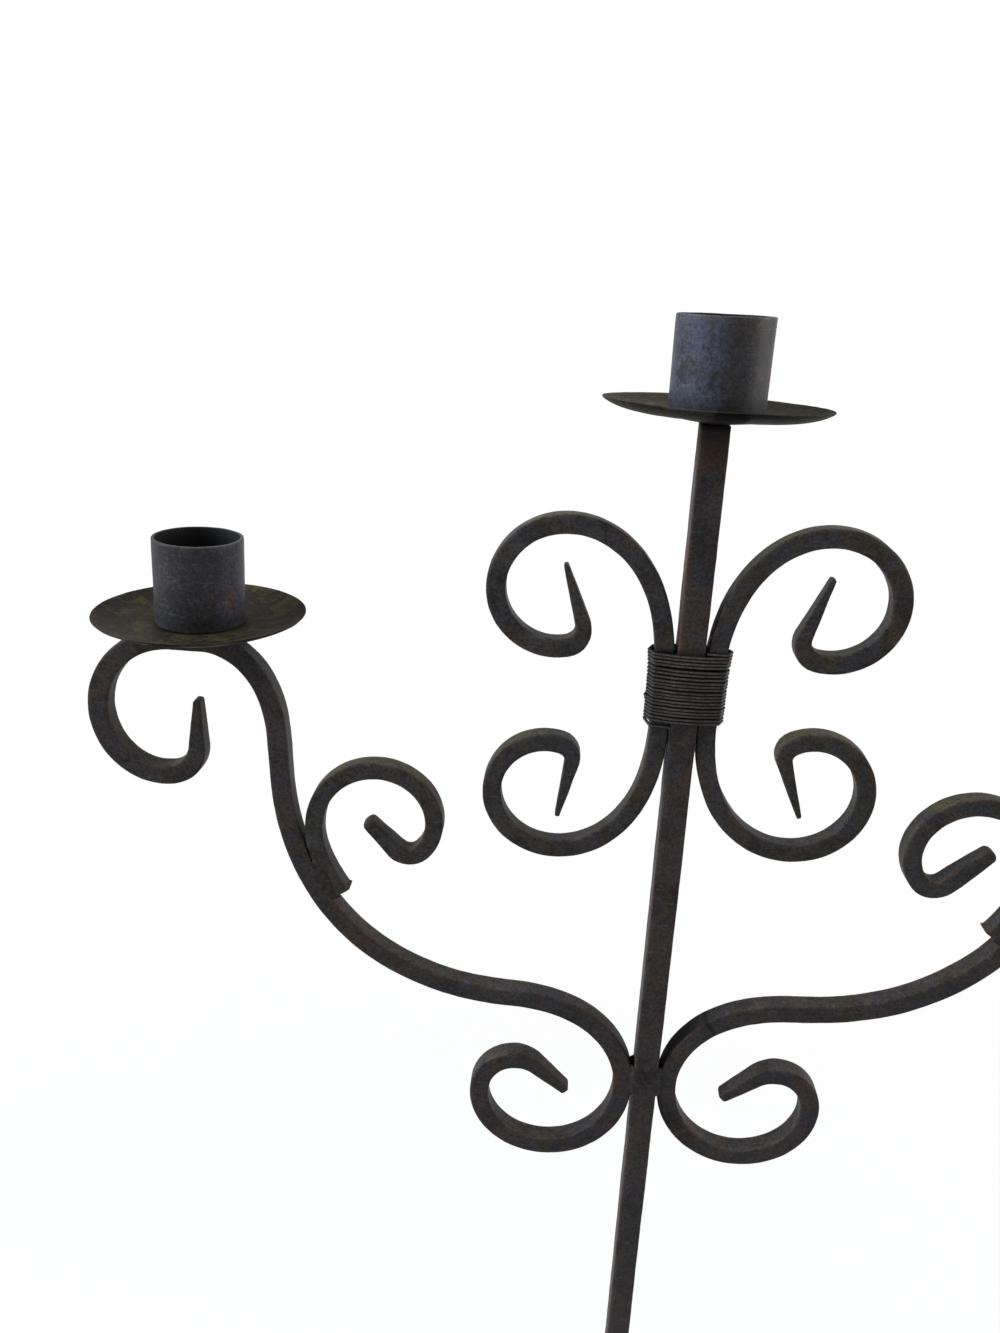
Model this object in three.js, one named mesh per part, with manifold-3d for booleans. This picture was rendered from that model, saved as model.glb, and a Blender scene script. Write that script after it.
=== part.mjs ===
// A floor-standing wrought-iron candle stand: a square upright, two S-shaped arms, bound C-scrolls,
// small scrolls welded on the arms, three cups on drip pans, and four scrolled legs.
// Millimetres, +Z up. The origin is on the floor under the upright; the arms spread along X.
import * as THREE from "three";
import { mergeVertices } from "three/addons/utils/BufferGeometryUtils.js";
import Module from "manifold-3d";

const wasm = await Module();
wasm.setup();

// Stock
const stemBar = 12.7; // square bar of the upright
const limbBar = 10; // square bar of the arms and legs
const scrollBar = 9; // square bar of the C-scrolls and the small scrolls
const edgeWear = 1; // flat left by forging on each long edge
const sheet = 1.5; // drip pans
const wireDiameter = 1.6;
const fitGap = 0.3; // between two pieces that touch

// Places along the upright
const rimHeight = 1500; // rim of the top cup above the floor
const scrollsBelowPan = 41.2; // clear height between the upright's top and the C-scrolls
const armsBelowScrolls = 138.1; // from the C-scrolls' lowest point to where the left arm leaves
const rightArmRise = 3.5; // the right arm is welded on higher
const stemTail = 32; // length of upright that hangs below the legs' welds
const endChamfer = 1.2;

// Cups and drip pans
const cupRadius = 20.65;
const cupWall = 1.6;
const cupHeight = 40.3;
const cupEdge = 0.5; // softened edges of the cup
const panRadius = 49;
const panRise = 7.3; // rim above the flat middle
const panFlatRadius = 4;
const panCurve = 1.25; // power of the distance from the flat middle that the dish follows
const screwRadius = 2.5;
const screwHeadRadius = 5;
const screwHeadHeight = 2.8;
const screwReach = 9; // into the bar below the pan
const screwClearance = 0.4;

// A bend turns the bar by some degrees while its radius changes evenly along it.
const bend = (turn, radius, endRadius = radius) => ({ turn, radius, endRadius });
const straight = (length) => ({ length });

// One arm: up and out from its weld, over the level seat of its pan, and round into its curl
const panSeat = 14.6;
const cupFromSeatStart = -0.45; // the seat starts just outside the cup's axis
const armWaist = 0.4; // straight length held by the weld
const armOut = [
  bend(59, 44.9, 54.4),
  bend(27.6, 54.4, 124.8),
  straight(10),
  bend(-40.3, 139.7, 102.9),
  bend(-44.2, 102.9, 167.6),
  straight(15.8),
  bend(87.9, 162, 26.2),
];
const armCurl = [bend(94.7, 37.5, 38.2), bend(96.8, 38.2, 25.5), bend(75.8, 15.8), straight(25.5)];
const armFoot = [
  bend(82, 49.5, 38.5),
  bend(84.5, 38.5, 33.5),
  bend(100.5, 33.5, 16.5),
  bend(43.5, 17),
  straight(23),
];
const curlTip = { length: 34, width: 0.45, depth: 0.75 };
const footTip = { length: 34, width: 0.6, depth: 0.8 };

// C-scrolls: the bends that leave the waist upwards and downwards
const waist = 15.5;
const bindingAboveWaist = 3.5; // the binding's middle, above the top of the waist
const scrollUp = [bend(82.5, 450, 36), bend(102.5, 36, 28), bend(97, 28, 28), bend(97, 9), straight(29)];
const scrollDown = {
  left: [bend(78.5, 260, 36), bend(108, 36, 27.5), bend(97.5, 27.5, 25), bend(86.5, 7.8), straight(30.5)],
  right: [
    bend(83, 150, 35.5),
    bend(109.5, 35.5, 29.5),
    bend(104.5, 29.5, 22.5),
    bend(83.5, 7.5),
    straight(31),
  ],
};
const scrollTip = { length: 40, width: 0.25, depth: 0.6 };

// Small scrolls: they lie along the arm, then leave it. Distances along the arm start at its weld.
const armScrollStart = { left: 205, right: 203 };
const armScrollSeat = 21.5;
const armScroll = [bend(60.2, 55, 32.1), bend(103.6, 32.1, 28.4), bend(82.8, 28.4, 22.2), bend(92.5, 9.1)];
const armScrollTail = { left: 21.3, right: 27 };
const armScrollTip = { length: 22, width: 0.72, depth: 0.8 };

// Binding and welds
const bindingTurns = 20;
const wirePitch = 1.7;
const wireBow = 1.6; // how far the springy wire stands off the scrolls' outer faces
const weldHeight = 1.3; // how proud a weld stands
const weldCrown = 0.8; // width of its rounded shoulder
const armWeldWidth = 30;
const armWeldLength = 19;
const armWeldRise = 5.5; // its middle above the left arm's weld height
const scrollWeldWidth = 8;
const legWeldLength = 22;
const legWeldLeg = 4;

// Facets
const chordError = 0.5;
const mostTurnPerStep = 22.5;
const cupFacets = 24;
const panFacets = 32;
const panSteps = 2;
const screwFacets = 12;
const wireFacets = 5;

const radians = THREE.MathUtils.degToRad;
const up = radians(90);

const finish = (color, roughness) => new THREE.MeshStandardMaterial({ color, roughness, metalness: 0.6 });
const finishes = {
  bar: finish(0x35302d, 0.62),
  scroll: finish(0x322f2b, 0.62),
  pan: finish(0x37342a, 0.55),
  cup: finish(0x33343b, 0.5),
  wire: finish(0x413c37, 0.6),
  weld: finish(0x2e2927, 0.7),
  screw: finish(0x2b2927, 0.5),
};

function part(name, geometry, material) {
  const mesh = new THREE.Mesh(geometry, material);
  mesh.name = name;
  return mesh;
}

function group(...children) {
  return new THREE.Group().add(...children);
}

// A closed three.js geometry as a solid, and back.
function solid(geometry) {
  const bare = geometry.clone();
  bare.deleteAttribute("normal");
  bare.deleteAttribute("uv");
  const merged = mergeVertices(bare, 1e-4);
  const vertProperties = merged.attributes.position.array;
  return new wasm.Manifold(new wasm.Mesh({ numProp: 3, vertProperties, triVerts: merged.index.array }));
}

function geometryOf(made) {
  const { vertProperties, triVerts } = made.getMesh();
  const geometry = new THREE.BufferGeometry();
  geometry.setAttribute("position", new THREE.BufferAttribute(vertProperties, 3));
  geometry.setIndex(new THREE.BufferAttribute(triVerts, 1));
  geometry.computeVertexNormals();
  return geometry;
}

// Walks a bar's centreline in its own plane, x outwards and z up, and returns a station at each facet.
// hand is 1 where a positive bend turns clockwise, and -1 where it turns the other way.
function walk(start, moves, hand = 1) {
  const stations = [{ along: 0, ...start }];
  let { x, z, heading, along } = stations[0];
  const advance = (arc, turn) => {
    const half = turn / 2;
    const chord = half ? (arc * Math.sin(half)) / half : arc;
    x += chord * Math.cos(heading + half);
    z += chord * Math.sin(heading + half);
    heading += turn;
    along += arc;
    stations.push({ x, z, heading, along });
  };
  for (const move of moves) {
    if (move.length) {
      advance(move.length, 0);
      continue;
    }
    const turn = radians(move.turn);
    const from = 1 / move.radius;
    const to = 1 / move.endRadius;
    const length = Math.abs(turn) / ((from + to) / 2);
    const facetTurn = Math.min(radians(mostTurnPerStep), Math.sqrt(4 * chordError * (from + to)));
    const count = Math.max(2, Math.ceil(Math.abs(turn) / facetTurn));
    // Share of the length by which the curvature has turned the bar through i of its equal steps
    const lengthShare = (i) => {
      if (Math.abs(to - from) < 1e-9) return i / count;
      return (Math.sqrt(from ** 2 + ((to ** 2 - from ** 2) * i) / count) - from) / (to - from);
    };
    for (let i = 0; i < count; i++) {
      advance(length * (lengthShare(i + 1) - lengthShare(i)), (-hand * turn) / count);
    }
  }
  return stations;
}

// The station at a distance along a bar, between two facets where need be.
function stationAt(stations, along) {
  const next = stations.findIndex((station) => station.along > along);
  const a = stations[next - 1];
  const b = stations[next];
  const share = (along - a.along) / (b.along - a.along);
  const mix = (key) => THREE.MathUtils.lerp(a[key], b[key], share);
  return { x: mix("x"), z: mix("z"), heading: mix("heading"), along };
}

// Two walks that leave one point in opposite directions, as one bar from tip to tip.
function joined(back, ahead) {
  const reversed = back.map((s) => ({ ...s, heading: s.heading + Math.PI, along: -s.along })).reverse();
  return [...reversed, ...ahead];
}

// Draws a bar's ends out to their tips; an end with no tip is cut off square.
function drawnOut(stations, size, startTip, endTip) {
  const first = stations[0].along;
  const last = stations.at(-1).along;
  const shareOf = (tip, distance, key) =>
    tip ? THREE.MathUtils.lerp(tip[key], 1, Math.min(1, distance / tip.length)) : 1;
  const sizeAt = (along, key) =>
    shareOf(startTip, along - first, key) * shareOf(endTip, last - along, key);
  const sized = stations.map((station) => {
    const { along } = station;
    return { ...station, width: sizeAt(along, "width"), depth: sizeAt(along, "depth") };
  });
  return blunted(sized, size);
}

// Breaks the edges of both end faces.
function blunted(stations, size) {
  const nearEnd = (end, neighbour) => {
    const share = endChamfer / Math.abs(neighbour.along - end.along);
    const mix = (key) => THREE.MathUtils.lerp(end[key], neighbour[key], share);
    const inner = Object.fromEntries(Object.keys(end).map((key) => [key, mix(key)]));
    const narrow = (scale) => scale - (edgeWear * 2) / size;
    return [{ ...end, width: narrow(end.width), depth: narrow(end.depth) }, inner];
  };
  const first = nearEnd(stations[0], stations[1]);
  const last = nearEnd(stations.at(-1), stations.at(-2)).reverse();
  return [...first, ...stations.slice(1, -1), ...last];
}

// A bar's path: its frames carry the drawing out, because their length scales the section.
class BarPath extends THREE.Curve {
  constructor(stations) {
    super();
    this.stations = stations;
  }

  getSpacedPoints() {
    return this.stations.map(({ x, z }) => new THREE.Vector3(x, 0, z));
  }

  computeFrenetFrames() {
    const across = ({ heading, width }) =>
      new THREE.Vector3(Math.sin(heading), 0, -Math.cos(heading)).multiplyScalar(width);
    return {
      normals: this.stations.map(across),
      binormals: this.stations.map(({ depth }) => new THREE.Vector3(0, depth, 0)),
    };
  }
}

function squareSection(size) {
  const face = size / 2;
  const corner = face - edgeWear;
  const quarter = [new THREE.Vector2(face, -corner), new THREE.Vector2(face, corner)];
  const middle = new THREE.Vector2();
  const turned = (point, k) => point.clone().rotateAround(middle, k * up);
  return new THREE.Shape([0, 1, 2, 3].flatMap((k) => quarter.map((point) => turned(point, k))));
}

function barGeometry(stations, size) {
  return new THREE.ExtrudeGeometry(squareSection(size), {
    steps: stations.length - 1,
    extrudePath: new BarPath(stations),
  });
}

// A hole for a screw from above, down to a depth below its mouth.
function drilled(geometry, x, mouth, depth) {
  const radius = screwRadius + screwClearance;
  const overrun = 5; // the cutter starts above the mouth
  const drill = new THREE.CylinderGeometry(radius, radius, depth + overrun, screwFacets);
  drill.rotateX(up);
  drill.translate(x, 0, mouth + (overrun - depth) / 2);
  return geometryOf(solid(geometry).subtract(solid(drill)));
}

function turnedOnLathe(profile, facets) {
  const points = profile.map(([radius, height]) => new THREE.Vector2(radius, height));
  return new THREE.LatheGeometry(points, facets).rotateX(up);
}

// The drip pan: a dish that rises ever faster towards its rim.
const panHeightAt = (radius) =>
  panRise * (Math.max(0, radius - panFlatRadius) / (panRadius - panFlatRadius)) ** panCurve;

function panGeometry() {
  const hole = screwRadius + screwClearance;
  const radii = [hole];
  for (let i = 0; i <= panSteps; i++) {
    radii.push(panFlatRadius + ((panRadius - panFlatRadius - sheet / 2) * i) / panSteps);
  }
  const below = radii.map((radius) => [radius, panHeightAt(radius)]);
  const above = below.map(([radius, height]) => [radius, height + sheet]).reverse();
  const edge = [panRadius, panHeightAt(panRadius) + sheet / 2];
  return turnedOnLathe([...below, edge, ...above, below[0]], panFacets);
}

// The cup: a tube with a floor, which stands on the dish where its foot meets it.
const cupSeat = panHeightAt(cupRadius) + sheet + fitGap;

function cupGeometry() {
  const hole = screwRadius + screwClearance;
  const inside = cupRadius - cupWall;
  const aroundHead = screwHeadRadius + screwClearance;
  const profile = [
    [hole, 0],
    [cupRadius - cupEdge, 0],
    [cupRadius, cupEdge],
    [cupRadius, cupHeight - cupEdge],
    [cupRadius - cupEdge, cupHeight],
    [inside + cupEdge / 2, cupHeight],
    [inside, cupHeight - cupEdge],
    [inside, cupWall],
    [aroundHead, cupWall],
    [hole, cupWall],
    [hole, 0],
  ];
  return turnedOnLathe(profile, cupFacets);
}

// The screw through cup and pan. Its head stands on the cup's floor.
const screwHeadBase = cupSeat + cupWall + fitGap;

function screwGeometry() {
  const crown = screwHeadHeight;
  const profile = [
    [0, -screwHeadBase - fitGap - screwReach],
    [screwRadius, -screwHeadBase - fitGap - screwReach],
    [screwRadius, 0],
    [screwHeadRadius, 0],
    [screwHeadRadius, crown * 0.35],
    [screwHeadRadius * 0.75, crown * 0.8],
    [screwHeadRadius * 0.4, crown],
    [0, crown],
  ];
  return turnedOnLathe(profile, screwFacets);
}

// Pan, cup and screw on a seat at x and z.
function candleHolder(name, x, z) {
  const pan = part(`${name}_pan`, panGeometry(), finishes.pan);
  const cup = part(`${name}_cup`, cupGeometry(), finishes.cup);
  const screw = part(`${name}_screw`, screwGeometry(), finishes.screw);
  cup.position.z = cupSeat;
  screw.position.z = screwHeadBase;
  const holder = group(pan, cup, screw);
  holder.position.set(x, 0, z + fitGap);
  return holder;
}

// Weld metal laid flat over a joint: a rounded patch with a crowned face, built towards +Z.
function weldPatch(length, width, height) {
  const x = length / 2 - weldCrown;
  const z = width / 2 - weldCrown;
  const outline = new THREE.Shape();
  outline.moveTo(x, 0);
  outline.quadraticCurveTo(x, z, x / 2, z);
  outline.lineTo(-x / 2, z);
  outline.quadraticCurveTo(-x, z, -x, 0);
  outline.quadraticCurveTo(-x, -z, -x / 2, -z);
  outline.lineTo(x / 2, -z);
  outline.quadraticCurveTo(x, -z, x, 0);
  const patch = new THREE.ExtrudeGeometry(outline, {
    depth: height / 4,
    curveSegments: 3,
    bevelThickness: height * 0.75,
    bevelSize: weldCrown,
    bevelSegments: 2,
  });
  const foot = new THREE.BoxGeometry(length * 2, width * 2, height * 2).translate(0, 0, -height);
  return solid(patch).subtract(solid(foot));
}

// Lays a patch on the front (-1) or the back (1) of the limbs.
function onFace(name, patch, face) {
  const weld = part(name, geometryOf(patch).rotateX(-up), finishes.weld);
  weld.rotation.z = face < 0 ? Math.PI : 0;
  weld.position.y = face * (limbBar / 2 + fitGap);
  return weld;
}

// The S bar that serves as an arm, and upside down as a leg. It touches the upright at x.
const sBarX = (stemBar + limbBar) / 2 + fitGap;
const sBarOut = walk({ x: sBarX, z: 0, heading: up }, armOut);
const sBarSeat = sBarOut.at(-1);
const sBarAhead = walk(sBarSeat, [straight(panSeat), ...armCurl]);
const sBarBack = walk({ x: sBarX, z: -armWaist, heading: -up }, armFoot, -1);
const sBar = drawnOut(
  joined(
    sBarBack.map((s) => ({ ...s, along: s.along + armWaist })),
    [...sBarOut, ...sBarAhead.slice(1)],
  ),
  limbBar,
  footTip,
  curlTip,
);
const seatTop = sBarSeat.z + limbBar / 2;
const cupX = sBarSeat.x + cupFromSeatStart;

// The small scroll lies along the arm's inner face and then leaves it.
function armScrollStations(side) {
  const seatStart = armScrollStart[side];
  const seatEnd = seatStart + armScrollSeat;
  const offset = (limbBar + scrollBar) / 2 + fitGap;
  const beside = ({ x, z, heading, along }) => ({
    x: x - offset * Math.sin(heading),
    z: z + offset * Math.cos(heading),
    heading,
    along,
  });
  const between = sBar.filter(({ along }) => along > seatStart && along < seatEnd);
  const seat = [stationAt(sBar, seatStart), ...between, stationAt(sBar, seatEnd)].map(beside);
  const free = walk(seat.at(-1), [...armScroll, straight(armScrollTail[side])], -1);
  return drawnOut([...seat, ...free.slice(1)], scrollBar, null, armScrollTip);
}

// Weld metal along the seam between an arm and its small scroll.
function scrollWeld(side, face) {
  const seam = stationAt(sBar, armScrollStart[side] + armScrollSeat / 2);
  const offset = (limbBar + fitGap) / 2;
  const patch = weldPatch(armScrollSeat, scrollWeldWidth, weldHeight);
  const weld = onFace(`${side}_scroll_weld_${face < 0 ? "front" : "back"}`, patch, face);
  weld.rotation.set(0, face < 0 ? Math.PI - seam.heading : -seam.heading, weld.rotation.z, "YXZ");
  weld.position.x = seam.x - offset * Math.sin(seam.heading);
  weld.position.z = seam.z + offset * Math.cos(seam.heading);
  return weld;
}

// Arm, candle holder, small scroll and its two welds, built on the right.
function armAssembly(side) {
  const bar = drilled(barGeometry(sBar, limbBar), cupX, seatTop, screwReach + fitGap);
  return group(
    part(`${side}_arm`, bar, finishes.bar),
    part(`${side}_arm_scroll`, barGeometry(armScrollStations(side), scrollBar), finishes.scroll),
    candleHolder(side, cupX, seatTop),
    scrollWeld(side, -1),
    scrollWeld(side, 1),
  );
}

// A C-scroll beside the upright: two curls that leave its straight waist.
const scrollX = (stemBar + scrollBar) / 2 + fitGap;

function cScrollStations(side) {
  const above = walk({ x: scrollX, z: 0, heading: up }, scrollUp);
  const below = walk({ x: scrollX, z: -waist, heading: -up }, scrollDown[side], -1);
  const stations = joined(
    below.map((s) => ({ ...s, along: s.along + waist })),
    above,
  );
  return drawnOut(stations, scrollBar, scrollTip, scrollTip);
}

const cScrolls = { left: cScrollStations("left"), right: cScrollStations("right") };

// Heights that follow from the rim of the top cup downwards.
const stemTop = rimHeight - cupHeight - cupSeat - fitGap;
const scrollSpread = cScrolls.left.map(({ z }) => z);
const scrollTop = stemTop - scrollsBelowPan;
const waistHeight = scrollTop - scrollBar / 2 - Math.max(...scrollSpread);
const scrollBottom = waistHeight - scrollBar / 2 + Math.min(...scrollSpread);
const bindingHeight = waistHeight + bindingAboveWaist;
const armWeldHeight = scrollBottom - armsBelowScrolls;

function cScroll(side) {
  const scroll = part(`${side}_c_scroll`, barGeometry(cScrolls[side], scrollBar), finishes.scroll);
  scroll.position.z = waistHeight;
  return scroll;
}

// How far a C-scroll's outer face stands from the upright's axis at a height near the binding.
function outerFaceAt(side, height) {
  const z = height - waistHeight;
  const stations = cScrolls[side];
  const beside = ({ x }) => x < 2 * scrollX; // not in a curl
  const next = stations.findIndex((s, i) => i > 0 && beside(s) && s.z > z && stations[i - 1].z <= z);
  const a = stations[next - 1];
  const b = stations[next];
  return THREE.MathUtils.mapLinear(z, a.z, b.z, a.x, b.x) + scrollBar / 2;
}

// The corners that the binding wire turns round at a height, counter-clockwise from the front right.
function bundleCorners(height) {
  const stemFace = stemBar / 2;
  const scrollFace = scrollBar / 2;
  const right = outerFaceAt("right", height);
  const left = outerFaceAt("left", height);
  const corners = [
    [right - edgeWear / 2, -scrollFace],
    [right + wireBow, 0],
    [right - edgeWear / 2, scrollFace],
    [stemFace - edgeWear / 2, stemFace],
    [edgeWear / 2 - stemFace, stemFace],
    [edgeWear / 2 - left, scrollFace],
    [-left - wireBow, 0],
    [edgeWear / 2 - left, -scrollFace],
    [edgeWear / 2 - stemFace, -stemFace],
    [stemFace - edgeWear / 2, -stemFace],
  ];
  return corners.map(([x, y]) => new THREE.Vector2(x, y));
}

// The corner k of the loop that the wire's centre follows at a height, with the way out of it.
function wireCorner(k, height) {
  const corners = bundleCorners(height);
  const count = corners.length;
  const here = corners[k % count];
  const outOf = (a, b) => b.clone().sub(a).rotateAround(new THREE.Vector2(), -up).normalize();
  const before = outOf(corners[(k + count - 1) % count], here);
  const after = outOf(here, corners[(k + 1) % count]);
  const out = before.clone().add(after).normalize();
  const mitre = 1 / out.dot(before);
  const place = here.clone().addScaledVector(out, (wireDiameter / 2 + fitGap) * mitre);
  return { place, out: out.multiplyScalar(mitre), height };
}

// The wire starts in the groove between the upright and the right scroll, winds down round the
// bundle, and ends in the groove on the left.
function wireStations() {
  const top = bindingHeight + (bindingTurns * wirePitch) / 2;
  const count = bundleCorners(bindingHeight).length;
  const corners = [];
  for (let k = 0; k < bindingTurns * count + count - 2; k++) {
    corners.push(wireCorner(k, top - (wirePitch * k) / count));
  }
  const tuck = (corner, side) => {
    const x = side * (stemBar / 2 + fitGap + wireDiameter / 4);
    const place = new THREE.Vector2(x, corner.place.y);
    return { place, out: new THREE.Vector2(0, -1), height: corner.height };
  };
  return [tuck(corners[0], 1), ...corners, tuck(corners.at(-1), -1)];
}

class WirePath extends THREE.Curve {
  constructor(stations) {
    super();
    this.stations = stations;
  }

  getSpacedPoints() {
    return this.stations.map(({ place, height }) => new THREE.Vector3(place.x, place.y, height));
  }

  computeFrenetFrames() {
    return {
      normals: this.stations.map(({ out }) => new THREE.Vector3(out.x, out.y, 0)),
      binormals: this.stations.map(() => new THREE.Vector3(0, 0, -1)),
    };
  }
}

function bindingWire() {
  const section = new THREE.Shape().absarc(0, 0, wireDiameter / 2, 0, 2 * Math.PI);
  const outline = new THREE.Shape(section.getPoints(wireFacets / 2).slice(0, wireFacets));
  const stations = wireStations();
  const geometry = new THREE.ExtrudeGeometry(outline, {
    steps: stations.length - 1,
    extrudePath: new WirePath(stations),
  });
  return part("binding_wire", geometry, finishes.wire);
}

// The upright, drilled from the top for its screw.
const legWeldHeight = seatTop; // the upside-down bar stands on its seat

function stem() {
  const foot = legWeldHeight - stemTail;
  const ends = [foot, stemTop].map((z) => ({ x: 0, z, heading: up, along: z, width: 1, depth: 1 }));
  const bar = barGeometry(blunted(ends, stemBar), stemBar);
  return part("stem", drilled(bar, 0, stemTop, screwReach + fitGap), finishes.bar);
}

// A leg is the S bar turned over, so that its level seat is the foot.
function leg(name, direction) {
  const bar = part(name, barGeometry(sBar, limbBar), finishes.bar);
  bar.rotation.set(Math.PI, 0, direction, "ZXY");
  bar.position.z = legWeldHeight;
  return bar;
}

// A bead of weld that joins two neighbouring legs over the upright's corner between them.
function legWeld(name, direction) {
  const side = limbBar / 2 + fitGap;
  const face = stemBar / 2 + fitGap;
  const reach = face + legWeldLeg;
  const bulge = face + legWeldLeg * 0.4;
  const outline = new THREE.Shape();
  outline.moveTo(face, side);
  outline.lineTo(reach, side);
  outline.quadraticCurveTo(bulge, bulge, side, reach);
  outline.lineTo(side, face);
  outline.lineTo(face, face);
  outline.closePath();
  const bead = new THREE.ExtrudeGeometry(outline, {
    depth: legWeldLength,
    curveSegments: 4,
    bevelEnabled: false,
  });
  const weld = part(name, bead, finishes.weld);
  weld.rotation.z = direction;
  weld.position.z = legWeldHeight + (armWaist - legWeldLength) / 2;
  return weld;
}

function legs() {
  const names = ["right", "back", "left", "front"];
  const welds = ["back_right", "back_left", "front_left", "front_right"];
  return group(
    ...names.map((name, k) => leg(`${name}_leg`, k * up)),
    ...welds.map((name, k) => legWeld(`${name}_leg_weld`, k * up)),
  );
}

// The patch that joins both arms to the upright: it steps over the upright's prouder face.
function armWeld(face) {
  const step = (stemBar - limbBar) / 2;
  const patch = weldPatch(armWeldWidth, armWeldLength, step + weldHeight);
  const room = new THREE.BoxGeometry(stemBar + 2 * fitGap, 2 * armWeldLength, 2 * step);
  const weld = onFace(`arm_weld_${face < 0 ? "front" : "back"}`, patch.subtract(solid(room)), face);
  weld.position.z = armWeldHeight + armWeldRise;
  return weld;
}

const leftSide = armAssembly("left");
leftSide.rotation.z = Math.PI;
leftSide.position.z = armWeldHeight;
const rightSide = armAssembly("right");
rightSide.position.z = armWeldHeight + rightArmRise;
const leftScroll = group(cScroll("left"));
leftScroll.rotation.z = Math.PI;

const stand = group(
  stem(),
  candleHolder("top", 0, stemTop),
  leftSide,
  rightSide,
  leftScroll,
  cScroll("right"),
  bindingWire(),
  armWeld(-1),
  armWeld(1),
  legs(),
);

export default stand;
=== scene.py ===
import math

import bmesh
import bpy
from mathutils import Matrix, Vector, noise


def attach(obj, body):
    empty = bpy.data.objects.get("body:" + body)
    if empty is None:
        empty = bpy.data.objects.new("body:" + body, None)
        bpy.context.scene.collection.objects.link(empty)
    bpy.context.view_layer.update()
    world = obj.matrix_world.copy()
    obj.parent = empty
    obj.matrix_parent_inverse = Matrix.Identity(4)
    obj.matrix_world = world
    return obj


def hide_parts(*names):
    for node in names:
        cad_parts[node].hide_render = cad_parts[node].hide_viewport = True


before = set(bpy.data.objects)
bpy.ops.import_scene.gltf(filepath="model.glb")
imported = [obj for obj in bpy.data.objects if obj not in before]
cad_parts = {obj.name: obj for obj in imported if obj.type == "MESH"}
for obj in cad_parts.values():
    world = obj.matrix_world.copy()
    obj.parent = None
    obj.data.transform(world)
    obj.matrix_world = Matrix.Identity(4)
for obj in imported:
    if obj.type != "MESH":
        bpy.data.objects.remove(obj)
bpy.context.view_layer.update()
mm = 0.001
mostPush = 0.15  # mm that hammer marks may stand proud
print("frame loaded:", len(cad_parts), "nodes")

# Camera

photoView = {
    "place": (-61.09, -465.31, 1510.10),  # mm
    "yaw": 3.235,  # degrees to the left of +Y
    "pitch": 20.107,  # degrees down
    "roll": 2.454,
    "lens": 28.565,
}


def addCamera(view):
    data = bpy.data.cameras.new("photoCamera")
    data.lens = view["lens"]
    data.sensor_width = 36
    data.clip_start = 0.01
    camera = bpy.data.objects.new("photoCamera", data)
    bpy.context.scene.collection.objects.link(camera)
    turn = Matrix.Rotation(math.radians(view["yaw"]), 4, "Z")
    tilt = Matrix.Rotation(math.radians(90 - view["pitch"]), 4, "X")
    roll = Matrix.Rotation(math.radians(view["roll"]), 4, "Z")
    camera.matrix_world = Matrix.Translation(Vector(view["place"]) * mm) @ turn @ tilt @ roll
    bpy.context.scene.camera = camera


addCamera(photoView)

# Shader maths


class Link:
    def __init__(self, paint, socket):
        self.paint = paint
        self.socket = socket

    def __add__(self, other):
        return self.paint.maths("ADD", self, other)

    def __sub__(self, other):
        return self.paint.maths("SUBTRACT", self, other)

    def __rsub__(self, other):
        return self.paint.maths("SUBTRACT", other, self)

    def __mul__(self, other):
        return self.paint.maths("MULTIPLY", self, other)

    __radd__ = __add__
    __rmul__ = __mul__


class Paint:
    def __init__(self, owner):  # a material or a world
        owner.use_nodes = True
        self.owner = owner
        self.tree = owner.node_tree
        self.tree.nodes.clear()

    def node(self, kind, settings, inputs, output=0):
        made = self.tree.nodes.new(kind)
        for key, value in settings.items():
            setattr(made, key, value)
        for key, value in inputs.items():
            socket = made.inputs[key]
            if isinstance(value, Link):
                self.tree.links.new(value.socket, socket)
            else:
                socket.default_value = value
        return Link(self, made.outputs[output]) if made.outputs else None

    def maths(self, operation, a, b):
        return self.node("ShaderNodeMath", {"operation": operation}, {0: a, 1: b})

    def between(self, value, low, high):  # 0 below low, 1 above high, smooth between
        return self.node("ShaderNodeMapRange", {"interpolation_type": "SMOOTHSTEP"},
                         {"Value": value, "From Min": low, "From Max": high})

    def mix(self, share, a, b):
        return self.node("ShaderNodeMix", {"data_type": "RGBA"}, {0: share, 6: a, 7: b}, 2)

    def speckle(self, place, scale, detail, rough, warp=0.0, move=None, stretch=(1, 1, 1)):
        if move:
            place = self.node("ShaderNodeMapping", {},
                              {"Vector": place, "Scale": stretch, "Location": move})
        return self.node("ShaderNodeTexNoise", {},
                         {"Vector": place, "Scale": scale, "Detail": detail,
                          "Roughness": rough, "Distortion": warp})

    def attribute(self, name):
        return self.node("ShaderNodeAttribute", {"attribute_name": name}, {}, 2)

    def rays(self, *kinds):
        return [self.node("ShaderNodeLightPath", {}, {}, kind) for kind in kinds]

    def finish(self, surface, output="ShaderNodeOutputMaterial"):
        self.node(output, {}, {"Surface": surface})
        return self.owner


def rgb(red, green, blue):
    return (red, green, blue, 1.0)


# Finishes: blackened iron, each slot with its own tints. Colours are linear.
# The shares say how much of a tint shows. "under" is painted shade on faces that look
# down, and "chipped" is bare metal along the edges.

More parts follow.
